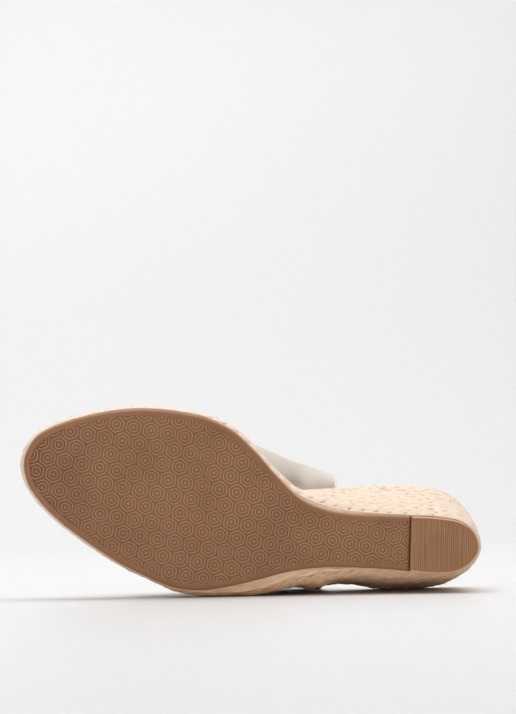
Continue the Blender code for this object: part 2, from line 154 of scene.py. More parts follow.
# Creases of the band: sunk where the depth is positive, raised where it is negative
CREASES = (
    # step and share of the middle, length, width, turn, depth
    (-0.45, 0.19, 0.40, 0.05, 1.45, 1.2 * MM),
    (-0.15, 0.50, 0.34, 0.06, 1.15, 0.9 * MM),
    (0.10, 0.70, 0.30, 0.07, 0.9, 0.9 * MM),
    (0.75, 0.30, 0.36, 0.07, 1.4, 0.8 * MM),
    (1.20, 0.62, 0.30, 0.08, 1.7, 0.7 * MM),
    (1.65, 0.40, 0.34, 0.08, 1.2, 0.8 * MM),
    (2.30, 0.55, 0.35, 0.09, 0.7, 1.0 * MM),
    (-0.25, 0.36, 0.35, 0.07, 1.3, -0.6 * MM),
    (1.45, 0.52, 0.40, 0.08, 1.4, -0.5 * MM),
)
BAND_WALL = 1.3 * MM
BAND_ROOM = 0.18 * MM  # what the visible leather stays inside the modelled band
LINING_WALL = 0.75 * MM

# Mesh fineness
PLAN_SAMPLES = 3200
EVEN_SPACING = 0.12  # share of the stations that is spaced evenly, not closer at the ends
STATIONS = 150
COLUMNS = 2 * STATIONS
HALF = COLUMNS // 2
RUNG_POINTS = 9  # across the ends of a closed body

# Jute plaits
STRAND_STEP = 1.0 * MM  # between rings along a strand
STRAND_SIDES = 10
STRANDS = 3
STRAND_HALF_THICK = 0.55 * MM
STRAND_HALF_WIDE = 0.29  # of the row's height
PLAIT_WAVE = 22.0 * MM
PLAIT_WEAVE = 0.26 * MM  # how far a strand goes over and under
CORE_INSET = 0.70 * MM
FOREFOOT_TRIM = 1.0 * MM  # the braid is pulled tighter round the forefoot
FOOT_CORDS = 3  # straight bundles of fibres along the rubber
FOOT_CORD_STEP = 1.2 * MM
FOOT_CORD_HALF_HIGH = 0.5 * MM
FOOT_CORD_LAP = 0.4 * MM  # how far they lie over the rubber's edge
FOOT_DRAW = 1.1 * MM  # how far the braid draws in to the rubber
FOOT_TAPER = 7.0 * MM  # height over which it does
SAGS = (
    # of the braid on the outer side: along, half length along, depth
    (0.335, 0.030, 2.2 * MM),
    (0.165, 0.070, 1.6 * MM),
)
FOLD_DEPTH = 0.32 * MM  # of the small folds round the deeper sag
LOOSE_DENSITY = 16000.0  # fibres per square metre
DARK_DENSITY = 2500.0
FIBRE_LENGTH = 5 * MM
FIBRE_RADIUS = 0.07 * MM
FIBRE_LIFT = 0.28 * MM
FIBRE_STRAY = 0.22  # how far a fibre's way may differ from the strand's

# Tread
CELL_WIDTH = 8.8 * MM
CELL_ROW = CELL_WIDTH * math.sqrt(3) / 2
CELL_RINGS = ((4.15 * MM, 30), (2.35 * MM, 18), (0.55 * MM, 6))  # radius and points
CELL_CORNER = 0.955  # reach of a softened corner, of a sharp one
TREAD_LINE = 0.32 * MM  # radius of a raised line
TREAD_LINE_SIDES = 6

# Heel lift
RIB_PITCH = 1.05 * MM
RIB_DEPTH = 0.28 * MM
LIFT_BORDER = 1.7 * MM
LIFT_BEVEL = 0.8 * MM  # of the lift's front edge
RIB_START = 0.85 * MM
RIB_ROW = 0.15 * MM


def smooth_curve(xs, ys):
    """A smooth curve through points, level past its ends."""
    xs = np.asarray(xs, float)
    ys = np.asarray(ys, float)
    slopes = np.gradient(ys, xs)

    def value(x):
        x = np.clip(x, xs[0], xs[-1])
        k = np.clip(np.searchsorted(xs, x, side="right") - 1, 0, len(xs) - 2)
        step = xs[k + 1] - xs[k]
        u = (x - xs[k]) / step
        start = (1 + 2 * u) * (1 - u) ** 2 * ys[k] + u * (1 - u) ** 2 * step * slopes[k]
        end = u * u * (3 - 2 * u) * ys[k + 1] + u * u * (u - 1) * step * slopes[k + 1]
        return start + end

    return value


def column(table, k):
    return smooth_curve([row[0] for row in table], [row[k] for row in table])


def smoothstep(x):
    x = np.clip(x, 0.0, 1.0)
    return x * x * (3 - 2 * x)


def rising(x, start, length):
    """Eased from 0 at start to 1 a length further on."""
    return smoothstep((x - start) / length)


def falling(x, start, length):
    return 1 - rising(x, start, length)


footbed_rise = column(FOOTBED_RISE, 1)


def toe_spring(x):
    return TOE_SPRING * (np.maximum(x / SOLE_LENGTH - GROUND_FRONT, 0.0) / (1 - GROUND_FRONT)) ** 2


def ground_height(x):
    """Underside of the outsole: stepped up at the lift, flat at the ball, sprung at the toe."""
    arch = falling(x / SOLE_LENGTH, BREAST_ALONG, GROUND_BACK - BREAST_ALONG)
    return LIFT_STEP * arch + toe_spring(x)


def outsole_top(x):
    return ground_height(x) + OUTSOLE_THICKNESS


def footbed_height(x):
    """Top edge of the platform."""
    rise = (HEEL_HEIGHT - PLATFORM_HEIGHT) * footbed_rise(x / SOLE_LENGTH)
    return PLATFORM_HEIGHT + toe_spring(x) + rise


def platform_bottom(x):
    """Underside of the platform: on the wedge, and past the wedge's tip on the outsole."""
    on_wedge = footbed_height(x) - PLATFORM_THICKNESS
    on_outsole = outsole_top(x) + GAP
    seated = rising(x / SOLE_LENGTH, WEDGE_TIP, PLATFORM_SEAT - WEDGE_TIP)
    return np.maximum(on_wedge + (on_outsole - on_wedge) * seated, on_outsole)


def flare_share(x, height):
    """How much of the flare is reached at a height: straight at the heel, early at the ball."""
    low = outsole_top(x)
    share = np.clip((height - low) / (footbed_height(x) - low), 0.0, 1.0)
    return share ** (np.maximum(footbed_rise(x / SOLE_LENGTH), FLARE_LEAST_RISE) ** FLARE_STEEPNESS)


def closed_plan():
    """The sole's edge as columns of point, outward direction and flare, heel end first,
    up the inner side to the toe and back down the outer side."""
    rows = [HEEL_END] + [(r[0], r[1], r[2]) for r in PLAN]
    rows += [TOE_END] + [(r[0], r[3], r[4]) for r in reversed(PLAN)]
    knots = np.array([(a * SOLE_LENGTH, w * BALL_WIDTH, f * HEEL_FLARE) for a, w, f in rows])
    looped = np.vstack([knots[-3:], knots, knots[:4]])
    chord = np.concatenate([[0], np.cumsum(np.hypot(*np.diff(looped[:, :2], axis=0).T))])
    fine = np.linspace(chord[3], chord[3 + len(knots)], PLAN_SAMPLES + 1)
    dense = np.column_stack([smooth_curve(chord, looped[:, c])(fine) for c in range(3)])
    toe = int(dense[:, 0].argmax())
    heel = int(dense[:, 0].argmin())
    dense = np.vstack([dense[heel:-1], dense[:heel], dense[heel : heel + 1]])
    toe = (toe - heel) % (len(dense) - 1)
    share = np.linspace(0, 1, STATIONS + 1)
    spread = (1 - EVEN_SPACING) * (1 - np.cos(math.pi * share)) / 2 + EVEN_SPACING * share
    stations = dense[0, 0] + (dense[toe, 0] - dense[0, 0]) * spread
    sides = []
    for side in (dense[: toe + 1], dense[toe:][::-1]):
        along = np.maximum.accumulate(side[:, 0])
        read = [np.interp(stations, along, side[:, c]) for c in (1, 2)]
        sides.append(np.column_stack([stations] + read))
    ring = np.vstack([sides[0], sides[1][-2:0:-1]])
    run = np.roll(ring, -1, axis=0)[:, :2] - np.roll(ring, 1, axis=0)[:, :2]
    out = np.column_stack([-run[:, 1], run[:, 0]])
    out /= np.linalg.norm(out, axis=1)[:, None]
    return ring[:, :2], out, ring[:, 2]


PLAN_POINTS, PLAN_OUT, PLAN_FLARE = closed_plan()
PLAN_STEPS = np.linalg.norm(np.roll(PLAN_POINTS, -1, axis=0) - PLAN_POINTS, axis=1)
PLAN_RUN = np.concatenate([[0], np.cumsum(PLAN_STEPS)])
PLAN_AROUND = PLAN_RUN[-1]  # length of the sole's edge
BREAST = np.array([BREAST_ALONG * SOLE_LENGTH, 0, 0])
BACKWARD = np.array([-math.cos(BREAST_SKEW), math.sin(BREAST_SKEW), 0])  # square to the breast
SIDEWAYS = np.array([math.sin(BREAST_SKEW), math.cos(BREAST_SKEW), 0])


def around(values, s):
    """A plan column read at any length s along the sole's edge."""
    return np.interp(np.mod(s, PLAN_AROUND), PLAN_RUN, np.append(values, values[0]))


def edge_points(s, height, flare=0.0, outset=0.0):
    """Points at lengths s along the sole's edge, moved out by a share of the flare and an
    outset. height, flare and outset are numbers, arrays or functions of the length x."""
    x0 = around(PLAN_POINTS[:, 0], s)

    def read(value):
        return value(x0) if callable(value) else value

    move = around(PLAN_FLARE, s) * read(flare) + read(outset)
    x = x0 + around(PLAN_OUT[:, 0], s) * move
    y = around(PLAN_POINTS[:, 1], s) + around(PLAN_OUT[:, 1], s) * move
    return np.stack([x, y, np.broadcast_to(read(height), x.shape)], axis=-1)


def edge_ring(height, flare=0.0, outset=0.0):
    """A closed ring of COLUMNS points."""
    return edge_points(PLAN_RUN[:-1], height, flare, outset)


def rim_ring(height, inset):
    """A ring that follows the footbed's edge."""
    return edge_ring(height, flare=1.0, outset=JUTE_LEDGE - inset)


def forefoot_trim(x):
    return FOREFOOT_TRIM * rising(x / SOLE_LENGTH, 0.55, 0.15)


def drawn_in(x, height):
    """How far the braid draws in to the rubber's edge near its foot."""
    return FOOT_DRAW * falling(height, outsole_top(x), FOOT_TAPER)


def slack(s, x, height):
    """How far the braid sags on the outer side, where the shoe lies on it."""
    outer = np.mod(s, PLAN_AROUND) > PLAN_RUN[STATIONS]
    along = x / SOLE_LENGTH
    sag = sum(depth * np.exp(-(((along - middle) / half) ** 2)) for middle, half, depth in SAGS)
    folds = np.sin(x / (2.6 * MM) + height / (4.0 * MM)) + np.sin(x / (4.3 * MM) - height / (6.0 * MM))
    sag = sag + FOLD_DEPTH * folds * np.exp(-(((along - 0.33) / 0.10) ** 2))
    return np.where(outer, sag, 0.0) * rising(height, outsole_top(x), 9 * MM)


def row_outset(bulge, share):
    """Outset of a plaited row at a share of its height."""
    return JUTE_LEDGE + bulge * np.maximum(np.sin(math.pi * np.clip(share, 0, 1)), 0.0) ** BULGE_SHARPNESS


def laid_on_its_side():
    """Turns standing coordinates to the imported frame, from the record's two mounts."""
    mounts = {m["name"]: m for m in frame["record"]["mounts"]}
    heel = np.array(mounts["heel_tread"]["pos_m"])
    ball = np.array(mounts["forefoot_tread"]["pos_m"])
    up = -np.array(mounts["heel_tread"]["axis"])
    standing_heel = np.array([16.0, -4.0, 0.0]) * MM
    standing_ball = np.array([152.0, -5.0, 0.6]) * MM
    run = ball - heel
    run -= up * (run @ up)
    run /= np.linalg.norm(run)
    side = np.cross(up, run)
    angle = math.atan2(standing_ball[1] - standing_heel[1], standing_ball[0] - standing_heel[0])
    forward = math.cos(angle) * run - math.sin(angle) * side
    inward = math.sin(angle) * run + math.cos(angle) * side
    turn = np.column_stack([forward, inward, up])
    return turn, heel - turn @ standing_heel


TURN, SHIFT = laid_on_its_side()


def laid(points):
    return np.asarray(points) @ TURN.T + SHIFT


def on_floor(points):
    """Standing points laid down, with what would pass through the floor pressed flat on it."""
    placed = laid(points)
    placed[..., 2] = np.maximum(placed[..., 2], 0.0)
    return placed


def in_scene(name, data):
    made = bpy.data.objects.new(name, data)
    bpy.context.scene.collection.objects.link(made)
    return made


def piece(name, points, faces, finishes, material_index=None, **attributes):
    """A mesh object from standing points, laid down, with its finishes. An attribute has one
    or three numbers for each point."""
    points = on_floor(np.reshape(points, (-1, 3)))
    mesh = bpy.data.meshes.new(name)
    mesh.from_pydata(points.tolist(), [], [list(map(int, f)) for f in faces])
    for finish in finishes:
        mesh.materials.append(finish)
    if material_index is not None:
        mesh.polygons.foreach_set("material_index", np.asarray(material_index, np.int32))
    for label, values in attributes.items():
        values = np.broadcast_to(np.reshape(values, (len(points), -1)), points.shape)
        made = mesh.attributes.new(label, "FLOAT_VECTOR", "POINT")
        made.data.foreach_set("vector", values.astype(np.float32).ravel())
    mesh.shade_smooth()
    mesh.update()
    return in_scene(name, mesh)


def ring_faces(rows, columns, closed=True, start=0):
    """Quads between rows of points. A closed row joins its end to its start."""
    k = np.arange(columns if closed else columns - 1)
    n = (k + 1) % columns
    base = start + np.arange(rows - 1)[:, None] * columns
    return np.stack([base + n, base + k, base + columns + k, base + columns + n], axis=-1).reshape(-1, 4)


def capped_loft(rings, dish=(0.0, 0.0)):
    """Points and faces of a closed body from rings of COLUMNS points, bottom ring first. Each
    end is closed by rungs between its two sides, whose middles dish lowers."""
    points = [np.asarray(r) for r in rings]
    faces = ring_faces(len(rings), COLUMNS).tolist()
    count = len(rings) * COLUMNS
    across = np.linspace(-1, 1, RUNG_POINTS + 2)[1:-1]
    for ring, first, sink, top in (
        (points[0], 0, dish[0], False),
        (points[-1], (len(rings) - 1) * COLUMNS, dish[1], True),
    ):
        rungs = [[first] * (RUNG_POINTS + 2)]
        for k in range(1, HALF):
            inner, outer = ring[k], ring[COLUMNS - k]
            rung = inner + (outer - inner) * (across[:, None] + 1) / 2
            rung[:, 2] -= sink * math.sin(math.pi * k / HALF) * (1 - across**2) ** 2
            points.append(rung)
            rungs.append([first + k, *range(count, count + RUNG_POINTS), first + COLUMNS - k])
            count += RUNG_POINTS
        rungs.append([first + HALF] * (RUNG_POINTS + 2))
        for low, high in zip(rungs, rungs[1:]):
            for j in range(RUNG_POINTS + 1):
                corners = list(dict.fromkeys([low[j], high[j], high[j + 1], low[j + 1]]))
                if len(corners) > 2:
                    faces.append(corners if top else corners[::-1])
    return np.vstack(points), faces


def keep_side(made, place, direction, bevel=0.0):
    """Cuts a piece with a plane, keeps the side that direction points to and closes the cut.
    The new edge may be bevelled, with the piece's second finish."""
    shape = bmesh.new()
    shape.from_mesh(made.data)
    everything = shape.verts[:] + shape.edges[:] + shape.faces[:]
    plane = {"plane_co": Vector(laid(place)), "plane_no": Vector(TURN @ np.asarray(direction))}
    result = bmesh.ops.bisect_plane(shape, geom=everything, clear_inner=True, **plane)
    rim = [e for e in result["geom_cut"] if isinstance(e, bmesh.types.BMEdge)]
    bmesh.ops.edgeloop_fill(shape, edges=rim)
    bmesh.ops.recalc_face_normals(shape, faces=shape.faces)
    if bevel:
        look = {"segments": 3, "profile": 0.5, "material": 1}
        bmesh.ops.bevel(shape, geom=rim, offset=bevel, affect="EDGES", clamp_overlap=True, **look)
    shape.to_mesh(made.data)
    shape.free()


def feed(value, socket):
    if isinstance(value, Wire):
        value.tree.links.new(value.socket, socket)
    else:
        socket.default_value = value


class Wire:
    """An output in a node tree. Arithmetic on wires and numbers adds the nodes it needs."""

    def __init__(self, tree, socket=None):
        self.tree = tree
        self.socket = socket

    def node(self, kind, inputs=None, output=0, **settings):
        """Adds a node, feeds its inputs with wires or constants, and returns one output."""
        made = self.tree.nodes.new(kind)
        for key, value in settings.items():
            setattr(made, key, value)
        for key, value in (inputs or {}).items():
            feed(value, made.inputs[key])
        return Wire(self.tree, made.outputs[output])

    def maths(self, operation, other):
        return self.node("ShaderNodeMath", {0: self, 1: other}, operation=operation)

    def __add__(self, other):
        return self.maths("ADD", other)

    def __mul__(self, other):
        return self.maths("MULTIPLY", other)

    def stretched(self, x, y, z):
        return self.node("ShaderNodeVectorMath", {0: self, 1: (x, y, z)}, operation="MULTIPLY")

    def noise(self, scale, detail=2.0, roughness=0.5):
        inputs = {"Vector": self, "Scale": scale, "Detail": detail, "Roughness": roughness}
        return self.node("ShaderNodeTexNoise", inputs)

    def between(self, low, high, start=0.0, end=1.0):
        """Eased from start to end as the wire goes from low to high."""
        inputs = {0: self, 1: low, 2: high, 3: start, 4: end}
        return self.node("ShaderNodeMapRange", inputs, interpolation_type="SMOOTHSTEP")

    def blend(self, first, second):
        """The first colour where the wire is 0, the second where it is 1."""
        inputs = {0: self, 6: rgba(first), 7: rgba(second)}
        return self.node("ShaderNodeMix", inputs, output=2, data_type="RGBA")


def rgba(colour):
    return colour if isinstance(colour, Wire) else (*colour, 1.0)


def finish_named(name, colour, roughness, bump=0.0, coat=0.0, build=None):
    """A material. build gets a wire to start from and returns colour, roughness, which may
    be None to keep the constant, and the height for the bump."""
    made = bpy.data.materials.new(name)
    made.use_nodes = True
    made.diffuse_color = rgba(colour)
    tree = made.node_tree
    shader = tree.nodes["Principled BSDF"]
    shader.inputs["Base Color"].default_value = rgba(colour)
    shader.inputs["Roughness"].default_value = roughness
    shader.inputs["Metallic"].default_value = 0.0
    shader.inputs["Coat Weight"].default_value = coat
    shader.inputs["Coat Roughness"].default_value = 0.4
    if build is not None:
        start = Wire(tree)
        new_colour, new_roughness, height = build(start)
        feed(new_colour, shader.inputs["Base Color"])
        if new_roughness is not None:
            feed(new_roughness, shader.inputs["Roughness"])
        inputs = {"Height": height, "Distance": bump, "Strength": 1.0}
        feed(start.node("ShaderNodeBump", inputs), shader.inputs["Normal"])
    return made


def on_object(start):
    return start.node("ShaderNodeTexCoord", output=3)


def from_attribute(start, label):
    return start.node("ShaderNodeAttribute", output=1, attribute_name=label)


def moulded_rubber(name, colour, darker, roughness, groove_shade=None):
    """Matt moulded rubber: faint blotches, a fine grain and a little dust. The attribute
    groove, where there is one, goes to the groove_shade colour, painted shade in the grooves."""

    def build(start):
        place = on_object(start)
        blotch = place.noise(45.0, 3.0).between(0.35, 0.7)
        speck = place.noise(900.0, 2.0)
        tone = blotch.blend(colour, darker)
        tone = speck.between(0.62, 0.75, 0.0, 0.35).blend(tone, [c * 1.25 for c in colour])
        # painted shade: a darker colour in the grooves
        if groove_shade:
            tone = (from_attribute(start, "groove") * 0.9).blend(tone, groove_shade)
        return tone, place.noise(120.0).between(0.3, 0.7, roughness - 0.06, roughness + 0.08), speck

    return finish_named(name, colour, roughness, bump=0.05 * MM, build=build)


def jute_fibres(name, pale, straw, shade, under):
    """Bundled plant fibres, with painted shade that makes them browner and darker towards the
    floor, on the side that the shoe lies on. The attribute fibre holds the length along a
    strand and the place across it in centimetres, and the strand's number."""

    def build(start):
        fibre = from_attribute(start, "fibre")
        hair = fibre.stretched(2.4, 48.0, 9.0).noise(1.0, 2.0, 0.6)
        streak = fibre.stretched(1.1, 13.0, 7.0).noise(1.0, 3.0, 0.6)
        clump = fibre.stretched(0.5, 3.0, 5.0).noise(1.0, 1.0)
        fleck = fibre.stretched(2.6, 24.0, 13.0).noise(1.0, 1.0)
        height = start.node("ShaderNodeSeparateXYZ", {0: on_object(start)}, output=2)
        # painted shade in streaky creases near the floor
        crease_shade = streak.between(0.40, 0.54, 1.0, 0.0) * height.between(0.0, 0.030, 0.60, 0.0)
        tone = straw
        for share, colour in (
            (streak.between(0.36, 0.56), pale),
            (hair.between(0.5, 0.75, 0.0, 0.35), shade),
            (clump.between(0.55, 0.75, 0.0, 0.4), straw),
            (fleck.between(0.74, 0.80, 0.0, 0.7), (0.52, 0.29, 0.14)),
            # painted shade: the under colour towards the floor, darker in creases and darkest at the
            # contact
            (height.between(0.0, 0.035, 0.75, 0.0), under),
            (crease_shade, [c * 0.5 for c in under]),
            (height.between(0.0, 0.008, 0.25, 0.0), [c * 0.62 for c in under]),
        ):
            tone = share.blend(tone, colour)
        return tone, None, hair * 0.35 + streak * 0.65

    return finish_named(name, pale, 0.85, bump=0.5 * MM, build=build)


def smooth_leather(name, colour, shade, roughness, grain=0.05 * MM, tucked=None):
    """Calf leather with a fine pebble, soft tone changes and a low sheen. The attribute
    tuck, where there is one, goes to the tucked colour, a painted shade, and fold to a
    lighter one, a painted highlight."""

    def build(start):
        place = on_object(start)
        cloud = place.noise(28.0, 2.0).between(0.3, 0.75)
        cells = place.node("ShaderNodeTexVoronoi", {"Vector": place, "Scale": 1500.0}, feature="F1")
        pores = cells * 0.5 + place.noise(2600.0, 2.0) * 0.5
        tone = cloud.blend(colour, shade)
        if tucked:
            # painted shade where the band tucks in by the jute and lies on the floor
            tone = (from_attribute(start, "tuck") * 0.8).blend(tone, tucked)
            # a painted highlight along the folded edges
            light = [min(c * 1.12, 0.95) for c in colour]
            tone = (from_attribute(start, "fold") * 0.9).blend(tone, light)
        return tone, cloud.between(0.0, 1.0, roughness, roughness + 0.1), pores

    return finish_named(name, colour, roughness, bump=grain, coat=0.05, build=build)


BORDER_RUBBER = moulded_rubber("sole_border_rubber", (0.300, 0.131, 0.058), (0.272, 0.116, 0.051), 0.50)
FIELD_RUBBER = moulded_rubber("tread_field_rubber", (0.270, 0.124, 0.052), (0.245, 0.110, 0.045), 0.62)
# The raised lines are lighter than the field rubber: a painted highlight.
RAISED_HIGHLIT_RUBBER = moulded_rubber("raised_tread_highlight_rubber", (0.455, 0.248, 0.128), (0.405, 0.215, 0.108), 0.50)
LIFT_RUBBER = moulded_rubber("heel_lift_rubber", (0.350, 0.157, 0.067), (0.314, 0.139, 0.058), 0.50)
# The ribbed face gets painted shade in its grooves, a darker colour.
RIBBED_RUBBER = moulded_rubber(
    "ribbed_lift_rubber", (0.405, 0.204, 0.093), (0.358, 0.176, 0.079), 0.60, groove_shade=(0.12, 0.055, 0.025)
)
# Worn rubber, partly real wear and partly a painted highlight on the lift's rounded rim and front edge.
WORN_HIGHLIT_RUBBER = moulded_rubber("worn_edge_highlight_rubber", (0.68, 0.42, 0.26), (0.60, 0.36, 0.22), 0.55)
# Each jute's last colour is painted shade, used towards the floor.
JUTE = jute_fibres(
    "plaited_jute", (0.87, 0.73, 0.61), (0.79, 0.63, 0.49), (0.62, 0.45, 0.31), (0.88, 0.50, 0.25)
)
JUTE_CORE = jute_fibres(
    "jute_core_wrap", (0.82, 0.66, 0.53), (0.74, 0.57, 0.43), (0.60, 0.43, 0.30), (0.78, 0.45, 0.23)
)
# A paler copy of the jute for the cords along the rubber: painted light on cords that face down, away from
# the lamps.
JUTE_EDGE_PAINTED_LIGHT = jute_fibres(
    "jute_edge_cord_painted_light", (1.0, 0.81, 0.64), (0.95, 0.72, 0.53), (0.84, 0.59, 0.40), (0.94, 0.60, 0.36)
)
LOOSE_FIBRE = finish_named("loose_fibre", (0.84, 0.70, 0.57), 0.8)
DARK_FIBRE = finish_named("dark_fibre", (0.42, 0.22, 0.10), 0.8)
# The tucked colour is painted shade at the band's base and in a soft fold.
BAND_LEATHER = smooth_leather(
    "bone_leather", (0.72, 0.66, 0.59), (0.68, 0.62, 0.55), 0.42, tucked=(0.26, 0.18, 0.105)
)
BAND_LINING = smooth_leather("band_lining_leather", (0.640, 0.560, 0.455), (0.610, 0.530, 0.425), 0.60)
INSOLE_LEATHER = smooth_leather("insole_leather", (0.620, 0.520, 0.400), (0.590, 0.490, 0.372), 0.55)


def declared(made, slot, *nodes):
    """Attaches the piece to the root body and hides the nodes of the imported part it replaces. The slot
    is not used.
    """
    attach(made, "root")
    if nodes:
        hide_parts(*nodes)
    return made


def rubber_outsole():
    """The sheet with a rounded border, and the lower field that carries the tread."""
    border = EDGE_BEVEL + TREAD_RIM
    profile = [
        # inset from the edge, height over the ground
        (border + 0.9 * MM, TREAD_DEPTH),
        (border + 0.45 * MM, TREAD_DEPTH - 0.02 * MM),
        (border + 0.25 * MM, TREAD_DEPTH * 0.72),
        (border + 0.05 * MM, TREAD_DEPTH * 0.28),
        (border - 0.20 * MM, TREAD_DEPTH * 0.06),
        (border - 0.50 * MM, 0.0),
        (2.20 * MM, 0.0),
        (1.70 * MM, 0.04 * MM),
        (1.20 * MM, 0.16 * MM),
        (0.75 * MM, 0.36 * MM),
        (0.38 * MM, 0.64 * MM),
        (0.12 * MM, 1.00 * MM),
        (0.0, 1.40 * MM),
        (0.0, OUTSOLE_THICKNESS - 0.3 * MM),
        (0.15 * MM, OUTSOLE_THICKNESS),
    ]
    rings = [edge_ring(lambda x, h=h: ground_height(x) + h, outset=-inset) for inset, h in profile]
    points, faces = capped_loft(rings)
    sides = COLUMNS * (len(profile) - 1)
    field = np.zeros(len(faces), int)
    field[: COLUMNS * 2] = 1
    field[sides : (sides + len(faces)) // 2] = 1  # the lower of the two ends
    made = piece("rubber_outsole", points, faces, [BORDER_RUBBER, FIELD_RUBBER], field)
    keep_side(made, BREAST - BACKWARD * GAP, -BACKWARD)
    declared(made, "rubber", "outsole")


def inside_edge(points, inset):
    """Which points on the ground are inside the sole's edge moved in by an inset."""
    outline = edge_ring(0.0, outset=-inset)[:, :2]
    ahead = np.roll(outline, -1, axis=0)
    x, y = points[:, None, 0], points[:, None, 1]
    crosses = (outline[None, :, 1] > y) != (ahead[None, :, 1] > y)
    rise = np.where(ahead[:, 1] == outline[:, 1], 1e-12, ahead[:, 1] - outline[:, 1])
    slope = (ahead[:, 0] - outline[:, 0]) / rise
    at = slope[None] * (y - outline[None, :, 1]) + outline[None, :, 0]
    return (np.sum(crosses & (x < at), axis=1) % 2) == 1


def rounded_cell(radius, count):
    """A six-sided ring with soft corners."""
    angle = np.arange(count) * 2 * math.pi / count
    corner = np.mod(angle, math.pi / 3) - math.pi / 6
    flat = math.cos(math.pi / 6) / np.cos(corner)
    size = radius * np.minimum(flat, CELL_CORNER)
    angle = angle + math.pi / 6
    return np.column_stack([np.cos(angle) * size, np.sin(angle) * size])


def tread_lines():
    """Polylines of the raised tread: staggered six-sided cells, each with a smaller one in it."""
    border = EDGE_BEVEL + TREAD_RIM - 0.1 * MM
    points, edges = [], []
    rows = int(BALL_WIDTH / CELL_ROW) + 2
    for row in range(-rows, rows + 1):
        for cell in range(0, int(SOLE_LENGTH / CELL_WIDTH) + 2):
            middle = np.array([(cell + 0.5 * (row % 2)) * CELL_WIDTH, row * CELL_ROW - 3 * MM])
            for radius, count in CELL_RINGS:
                ring = rounded_cell(radius, count) + middle
                ahead = (BREAST[:2] - ring) @ BACKWARD[:2]
                kept = inside_edge(ring, border) & (ahead > GAP + 0.3 * MM)
                order = {}
                for k in np.nonzero(kept)[0]:
                    order[k] = len(points)
                    x, y = ring[k]
                    points.append((x, y, float(ground_height(x)) + TREAD_DEPTH - 0.02 * MM))
                for k in order:
                    n = (k + 1) % count
                    if n in order:
                        edges.append((order[k], order[n]))
    return np.array(points), edges


def run_nodes(made, name, finish, inputs, build):
    """Runs a Geometry Nodes tree on an object and returns its result as a plain mesh object.
    inputs holds each input's value by name. build gets wires for the geometry and the inputs,
    and returns the geometry to keep."""
    tree = bpy.data.node_groups.new(name, "GeometryNodeTree")
    for way in ("INPUT", "OUTPUT"):
        tree.interface.new_socket("Geometry", in_out=way, socket_type="NodeSocketGeometry")
    step = made.modifiers.new(name, "NODES")
    step.node_group = tree
    for label, value in inputs.items():
        kind = "NodeSocketInt" if isinstance(value, int) else "NodeSocketFloat"
        socket = tree.interface.new_socket(label, in_out="INPUT", socket_type=kind)
        socket.default_value = value
        step[socket.identifier] = value
    given = tree.nodes.new("NodeGroupInput").outputs
    wires = [Wire(tree, given[k]) for k in range(len(inputs) + 1)]
    real = wires[0].node("GeometryNodeRealizeInstances", {0: build(*wires)})
    coloured = real.node("GeometryNodeSetMaterial", {"Geometry": real, "Material": finish})
    feed(coloured, tree.nodes.new("NodeGroupOutput").inputs[0])
    bpy.context.view_layer.update()
    evaluated = made.evaluated_get(bpy.context.evaluated_depsgraph_get())
    mesh = bpy.data.meshes.new_from_object(evaluated)
    mesh.name = name
    bpy.data.objects.remove(made)
    return in_scene(name, mesh)


def raised_tread():
    points, edges = tread_lines()
    mesh = bpy.data.meshes.new("tread_lines")
    mesh.from_pydata(laid(points).tolist(), edges, [])

    def moulded(lines, radius, sides):
        paths = lines.node("GeometryNodeMeshToCurve", {0: lines})
        profile = lines.node("GeometryNodeCurvePrimitiveCircle", {"Resolution": sides, "Radius": radius})
        inputs = {"Curve": paths, "Profile Curve": profile, "Fill Caps": True}
        return lines.node("GeometryNodeSetShadeSmooth", {0: lines.node("GeometryNodeCurveToMesh", inputs)})

    inputs = {"Line radius": TREAD_LINE, "Sides": TREAD_LINE_SIDES}
    # the raised lines take the lighter rubber, a painted highlight
    made = run_nodes(in_scene("tread_lines", mesh), "raised_tread", RAISED_HIGHLIT_RUBBER, inputs, moulded)
    declared(made, "rubber")


def heel_lift():
    """The rubber pad under the heel: a smooth border round a face with fine ribs across."""
    profile = [
        # inset from the edge, height over the ground
        (LIFT_BORDER + 0.35 * MM, 0.35 * MM),
        (LIFT_BORDER + 0.15 * MM, 0.30 * MM),
        (LIFT_BORDER, 0.05 * MM),
        (LIFT_BORDER - 0.15 * MM, 0.0),
        (EDGE_BEVEL + 0.15 * MM, 0.0),
        (EDGE_BEVEL * 0.6, 0.10 * MM),
        (EDGE_BEVEL * 0.2, 0.32 * MM),
        (0.0, 0.75 * MM),
        (0.0, OUTSOLE_THICKNESS + LIFT_STEP - 0.2 * MM),
        (0.15 * MM, OUTSOLE_THICKNESS + LIFT_STEP),
    ]
    points, faces = capped_loft([edge_ring(h, outset=-inset) for inset, h in profile])
    worn_highlit_rim = np.zeros(len(faces), int)
    worn_highlit_rim[COLUMNS * 4 : COLUMNS * 6] = 1  # the rounded rim, worn and lighter as a painted highlight
    made = piece("heel_lift_body", points, faces, [LIFT_RUBBER, WORN_HIGHLIT_RUBBER], worn_highlit_rim)
    # The bevelled front edge takes the worn rubber with its painted highlight.
    keep_side(made, BREAST, BACKWARD, bevel=LIFT_BEVEL)
    declared(made, "rubber", "heel_lift")


